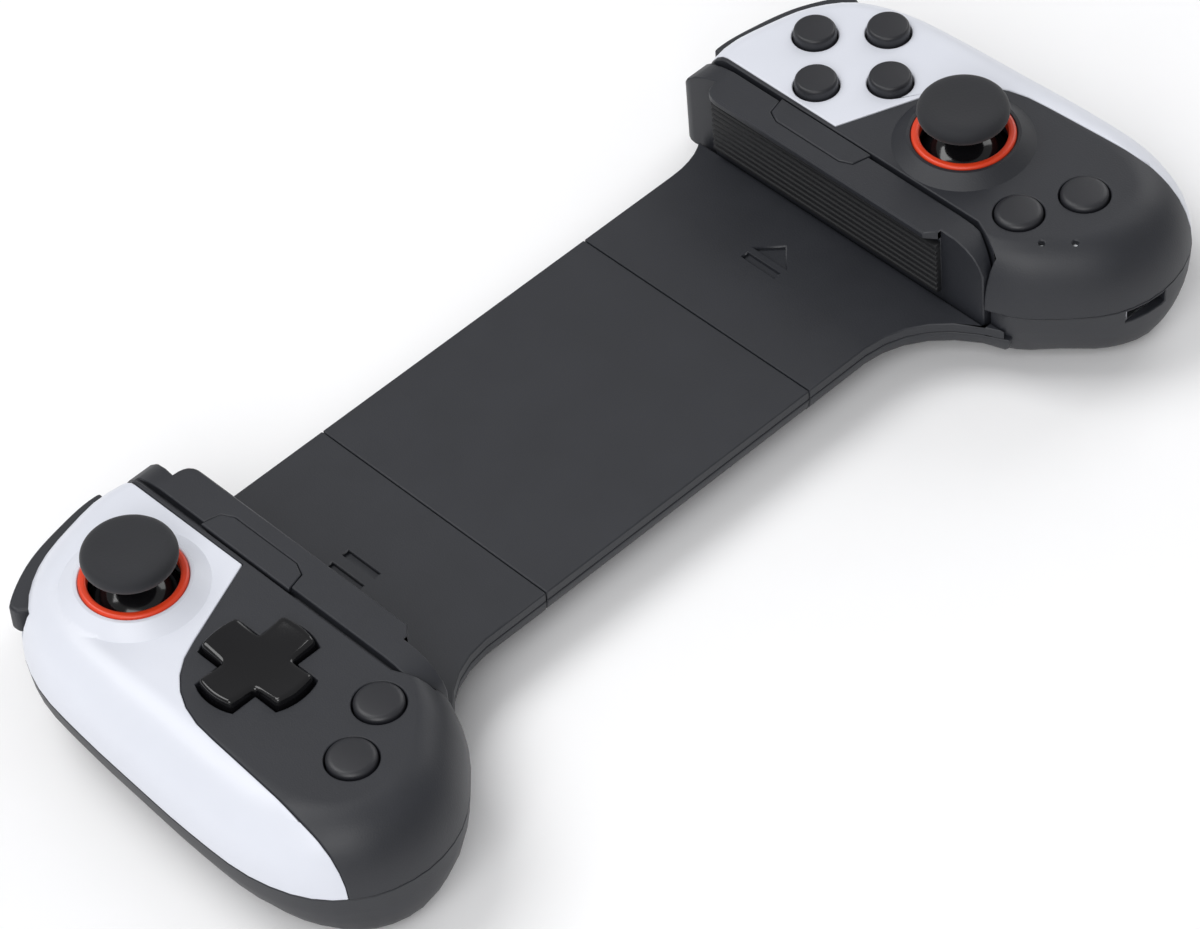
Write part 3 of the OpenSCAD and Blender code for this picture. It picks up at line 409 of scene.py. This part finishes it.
class CONTROLLER_OT_shells(ControllerPiece, bpy.types.Operator):
    """Softens the shells and plates of both grips"""
    bl_idname = "controller.shells"
    bl_label = "Grip shells"

    def execute(self, context):
        for side in SIDES:
            for node in (side + "upper_shell", side + "lower_shell"):
                finished(started(node), node, charcoal_abs(), sizes().shell_edge, steep=SHELL_STEEP)
            plate = side + "faceplate"
            finished(started(plate, PLATE_MERGE), plate, white_abs(), sizes().shell_edge, steep=SHELL_STEEP)
        return {"FINISHED"}


class CONTROLLER_OT_clamps(ControllerPiece, bpy.types.Operator):
    """Softens the clamps, their inset plates and their ribbed pads"""
    bl_idname = "controller.clamps"
    bl_label = "Clamps"

    def execute(self, context):
        for side in SIDES:
            wall, tab, pad = side + "clamp", side + "clamp_tab", side + "clamp_pad"
            finished(started(wall), wall, charcoal_abs(), sizes().clamp_edge, steep=CLAMP_STEEP)
            finished(started(tab), tab, charcoal_abs(), sizes().deck_edge)
            finished(started(pad), pad, pad_rubber(), sizes().rib_edge)
        return {"FINISHED"}


class CONTROLLER_OT_shoulders(ControllerPiece, bpy.types.Operator):
    """Softens the bumpers and triggers"""
    bl_idname = "controller.shoulders"
    bl_label = "Shoulders"

    def execute(self, context):
        for side in SIDES:
            for node in (side + "bumper", side + "trigger"):
                finished(started(node), node, charcoal_abs(), sizes().shoulder_edge, segments=3)
        return {"FINISHED"}


class CONTROLLER_OT_sticks(ControllerPiece, bpy.types.Operator):
    """Turns the stick rings, domes and caps"""
    bl_idname = "controller.sticks"
    bl_label = "Sticks"

    def execute(self, context):
        for side in SIDES:
            self.ring(side + "stick_ring")
            self.stem(side + "stick_stem", measures(side + "stick_pivot")[1])
            self.cap(side + "stick_cap")
        return {"FINISHED"}

    def ring(self, node):
        """Flat ring with well rounded edges."""
        wall = 1.6
        radius, height = measures(node)
        inside = radius - wall
        bm = spun(node, [(inside, 0), (radius, 0), (radius, height), (inside, height)], closed=True)
        finished(bm, node, orange_abs(), sizes().ring_edge, segments=4)

    def stem(self, node, hub_height):
        """Dome, neck and shaft in one moulding, drawn about the stick's pivot."""
        reach = math.radians(60)
        steps = 16
        wall = 0.8
        neck = 3.0
        shaft = 1.6
        hub_lift = 1.2
        radius, height = measures(node)
        pivot = hub_height / 2 + hub_lift
        dome = radius / math.sin(reach)
        hollow = dome - wall
        angles = [reach * k / steps for k in range(steps + 1)]
        outer = [angle for angle in angles if dome * math.sin(angle) > neck]
        inner = [angle for angle in angles if hollow * math.sin(angle) > shaft]
        profile = [(0, height), (neck, height), (neck, pivot + math.sqrt(dome ** 2 - neck ** 2))]
        profile += [(dome * math.sin(angle), pivot + dome * math.cos(angle)) for angle in outer]
        profile += [(hollow * math.sin(angle), pivot + hollow * math.cos(angle)) for angle in reversed(inner)]
        profile += [(shaft, pivot + math.sqrt(hollow ** 2 - shaft ** 2)), (shaft, 0), (0, 0)]
        finished(spun(node, profile), node, polished_abs(), sizes().rib_edge)

    def cap(self, node):
        """Thick rubber cap, tapering under its rim and a little hollow on top."""
        socket = 3.02
        depth = 1.92
        under = [(0.62, 0), (0.9, 0.08)]
        rim = [(1.012, 0.36), (1.012, 0.72), (0.89, 1.04)]
        top = [(0.55, 0.97), (0.25, 0.92), (0, 0.91)]
        radius, height = measures(node)
        profile = [(0, depth), (socket, depth), (socket, 0)]
        profile += [(out * radius, up * height) for out, up in under + rim + top]
        finished(spun(node, profile, steps=48), node, cap_rubber(), sharp=ALL_SMOOTH, rounds=2)


class CONTROLLER_OT_buttons(ControllerPiece, bpy.types.Operator):
    """Turns the round buttons, each with its flange and plunger"""
    bl_idname = "controller.buttons"
    bl_label = "Buttons"

    def execute(self, context):
        tall = [(0, 2.3), (0.1, 0.75), (0.42, 0.28)]
        low = [(0, 0.8), (0.28, 0.4), (0.8, 0.14), (1.8, 0.03)]
        for place in ("north", "east", "south", "west"):
            self.button("button_" + place, tall)
        for side in SIDES:
            for name in ("inner_button", "outer_button"):
                self.button(side + name, low)
        return {"FINISHED"}

    def button(self, node, shoulder):
        """Shoulder points are steps inwards from the side and down from the top, in millimetres."""
        plunger = 2.0
        flange = 0.9
        flange_foot = 3.25
        flange_top = 4.25
        wide, height = measures(node)
        radius = wide - flange
        profile = [(0, 0), (plunger, 0), (plunger, flange_foot), (wide, flange_foot), (wide, flange_top),
                   (radius, flange_top)]
        profile += [(radius - step, height - drop) for step, drop in shoulder] + [(0, height)]
        finished(spun(node, profile), node, button_abs(), sizes().button_edge, sharp=BUTTON_SHARP, segments=3)


class CONTROLLER_OT_direction_pad(ControllerPiece, bpy.types.Operator):
    """Shapes the dished direction pad from a rounded cage"""
    bl_idname = "controller.direction_pad"
    bl_label = "Direction pad"

    def execute(self, context):
        flange = 1.6 * MM
        thick = 1.3 * MM
        arm = 4.4 * MM
        dish = 1.0 * MM
        wide, height = (size * MM for size in measures("dpad"))
        half = wide - flange
        soft = sizes().pad_edge
        side = [arm - soft, arm, arm + soft, (arm + half) / 2, half - soft, half]
        lines = [-place for place in reversed(side)] + [0.0] + side
        bm = bmesh.new()
        cells = len(lines) - 1
        bmesh.ops.create_grid(bm, x_segments=cells, y_segments=cells, size=cells / 2)
        for vert in bm.verts:
            vert.co = [lines[round(place + cells / 2)] for place in vert.co.xy] + [height]
        corners = [face for face in bm.faces if min(abs(c) for c in face.calc_center_median().xy) > arm]
        bmesh.ops.delete(bm, geom=corners, context="FACES")
        for vert in bm.verts:
            self.bow(vert, half, arm)
            vert.co.z -= dish * (1 - vert.co.xy.length_squared / half ** 2)
        rim = [edge for edge in bm.edges if edge.is_boundary]
        for level in (height - dish / 2 - 2 * soft, thick / 2):
            made = bmesh.ops.extrude_edge_only(bm, edges=rim)["geom"]
            for vert in made:
                if isinstance(vert, bmesh.types.BMVert):
                    vert.co.z = level
            rim = [edge for edge in made if isinstance(edge, bmesh.types.BMEdge) and edge.is_boundary]
        bmesh.ops.edgeloop_fill(bm, edges=rim)
        self.flange(bm, wide, thick)
        bmesh.ops.recalc_face_normals(bm, faces=bm.faces)
        bmesh.ops.translate(bm, vec=foot("dpad"), verts=bm.verts)
        finished(bm, "dpad", polished_abs(), sharp=ALL_SMOOTH, rounds=2)
        return {"FINISHED"}

    def bow(self, vert, half, arm):
        """Draws the end of an arm onto the pad's round outline."""
        for along, across in ((0, 1), (1, 0)):
            share = (abs(vert.co[along]) - arm) / (half - arm)
            if share > 0:
                vert.co[along] *= 1 - share * (1 - math.sqrt(1 - (vert.co[across] / half) ** 2))

    def flange(self, bm, radius, thick):
        """Adds the round plate under the cross, with its edges kept crisp."""
        crease = bm.edges.layers.float.new("crease_edge")
        made = bmesh.ops.create_cone(bm, cap_ends=True, segments=64, radius1=radius, radius2=radius,
                                     depth=thick, matrix=Matrix.Translation((0, 0, thick / 2)))
        for vert in made["verts"]:
            for edge in vert.link_edges:
                edge[crease] = 1.0


class CONTROLLER_OT_inner_pieces(ControllerPiece, bpy.types.Operator):
    """Gives the inner solids and fasteners their finishes"""
    bl_idname = "controller.inner_pieces"
    bl_label = "Inner pieces"

    def execute(self, context):
        finishes = {
            "steel": plated_steel(), "gear_white": acetal(), "inner_plastic": inner_abs(),
            "board_green": lacquered_board(), "cell_wrap": shrink_wrap(), "light_guide": light_guide(),
            "charcoal": charcoal_abs(), "white": white_abs(), "orange": orange_abs(),
            "gloss_black": polished_abs(), "soft_grip": cap_rubber(),
        }
        for part in frame["record"]["subparts"]:
            mesh = frame["nodes"][part["node"]].data
            mesh.materials.clear()
            mesh.materials.append(finishes[part["material_slot"]])
        return {"FINISHED"}


class CONTROLLER_OT_stage(ControllerPiece, bpy.types.Operator):
    """Sets the floor, the soft light and the camera"""
    bl_idname = "controller.stage"
    bl_label = "Stage"

    def execute(self, context):
        scene = context.scene
        scene.view_settings.view_transform = "Standard"
        self.floor()
        self.world(scene)
        self.softbox("key_softbox", (-0.9, -0.6, 1.0), 0.9, 10.5)
        self.softbox("top_softbox", (-0.3, 0.6, 1.2), 0.8, 8.0)
        self.softbox("side_softbox", (1.0, 0.2, 0.6), 0.7, 3.0)
        self.camera(scene)
        return {"FINISHED"}

    def floor(self):
        half_width = 4.0
        bm = bmesh.new()
        bmesh.ops.create_grid(bm, x_segments=1, y_segments=1, size=half_width)
        mesh = bpy.data.meshes.new("floor")
        bm.to_mesh(mesh)
        bm.free()
        mesh.materials.append(floor_paint())
        floor = bpy.data.objects.new("floor", mesh)
        bpy.context.scene.collection.objects.link(floor)

    def world(self, scene):
        sky_colour = linear("#fbfbfc") + [1.0]
        sky_strength = 0.34
        world = bpy.data.worlds.new("studio")
        world.use_nodes = True
        tree = world.node_tree
        tree.nodes.clear()
        sky = add(tree, "ShaderNodeBackground", values={"Color": sky_colour, "Strength": sky_strength})
        add(tree, "ShaderNodeOutputWorld", {"Surface": sky.outputs["Background"]})
        scene.world = world

    def softbox(self, name, place, size, power):
        light = bpy.data.lights.new(name, "AREA")
        light.shape = "SQUARE"
        light.size = size
        light.energy = power
        lamp = bpy.data.objects.new(name, light)
        lamp.location = place
        lamp.rotation_euler = Vector(place).to_track_quat("Z", "Y").to_euler()
        bpy.context.scene.collection.objects.link(lamp)

    def camera(self, scene):
        """The photograph's view, solved on the bridge's seams and the round pieces."""
        azimuth, elevation, roll = (math.radians(angle) for angle in (-40.4804, 46.4885, -5.3885))
        off_axis = Vector((-6.3648, 9.9384)) * MM
        distance = 1020.1289 * MM
        focal = 165.0
        deck = foot("centre_cover")
        deck.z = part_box("centre_cover")[1].z
        flat = math.cos(elevation)
        back = Vector((math.sin(azimuth) * flat, -math.cos(azimuth) * flat, math.sin(elevation)))
        level = Vector((math.cos(azimuth), math.sin(azimuth), 0))
        rise = back.cross(level)
        right = math.cos(roll) * level + math.sin(roll) * rise
        up = -math.sin(roll) * level + math.cos(roll) * rise
        data = bpy.data.cameras.new("photo_view")
        data.lens = focal
        data.sensor_fit = "HORIZONTAL"
        data.sensor_width = 36.0
        data.clip_end = 20.0
        camera = bpy.data.objects.new("photo_view", data)
        turn = Matrix((right, up, back)).transposed().to_4x4()
        eye = deck + distance * back - off_axis.x * right - off_axis.y * up
        camera.matrix_world = Matrix.Translation(eye) @ turn
        scene.collection.objects.link(camera)
        scene.camera = camera


PIECES = (CONTROLLER_OT_inner_pieces, CONTROLLER_OT_bridge, CONTROLLER_OT_shells, CONTROLLER_OT_clamps,
          CONTROLLER_OT_shoulders, CONTROLLER_OT_sticks, CONTROLLER_OT_buttons, CONTROLLER_OT_direction_pad,
          CONTROLLER_OT_stage)


class CONTROLLER_PT_sidebar(bpy.types.Panel):
    """Lists the controller's pieces"""
    bl_idname = "CONTROLLER_PT_sidebar"
    bl_label = "Controller"
    bl_space_type = "VIEW_3D"
    bl_region_type = "UI"
    bl_category = "Controller"

    def draw(self, context):
        for operator in PIECES:
            self.layout.operator(operator.bl_idname)
        for group in (context.scene.controller_colours, context.scene.controller_sizes):
            for name in group.bl_rna.properties.keys():
                if name not in ("rna_type", "name"):
                    self.layout.prop(group, name)


CLASSES = (ControllerColours, ControllerSizes) + PIECES + (CONTROLLER_PT_sidebar,)


def register():
    for kind in CLASSES:
        bpy.utils.register_class(kind)
    bpy.types.Scene.controller_colours = bpy.props.PointerProperty(type=ControllerColours)
    bpy.types.Scene.controller_sizes = bpy.props.PointerProperty(type=ControllerSizes)


def unregister():
    del bpy.types.Scene.controller_sizes
    del bpy.types.Scene.controller_colours
    for kind in reversed(CLASSES):
        bpy.utils.unregister_class(kind)


def main():
    register()
    for operator in PIECES:
        getattr(bpy.ops.controller, operator.bl_idname.split(".")[1])()


if __name__ == "__main__":
    main()
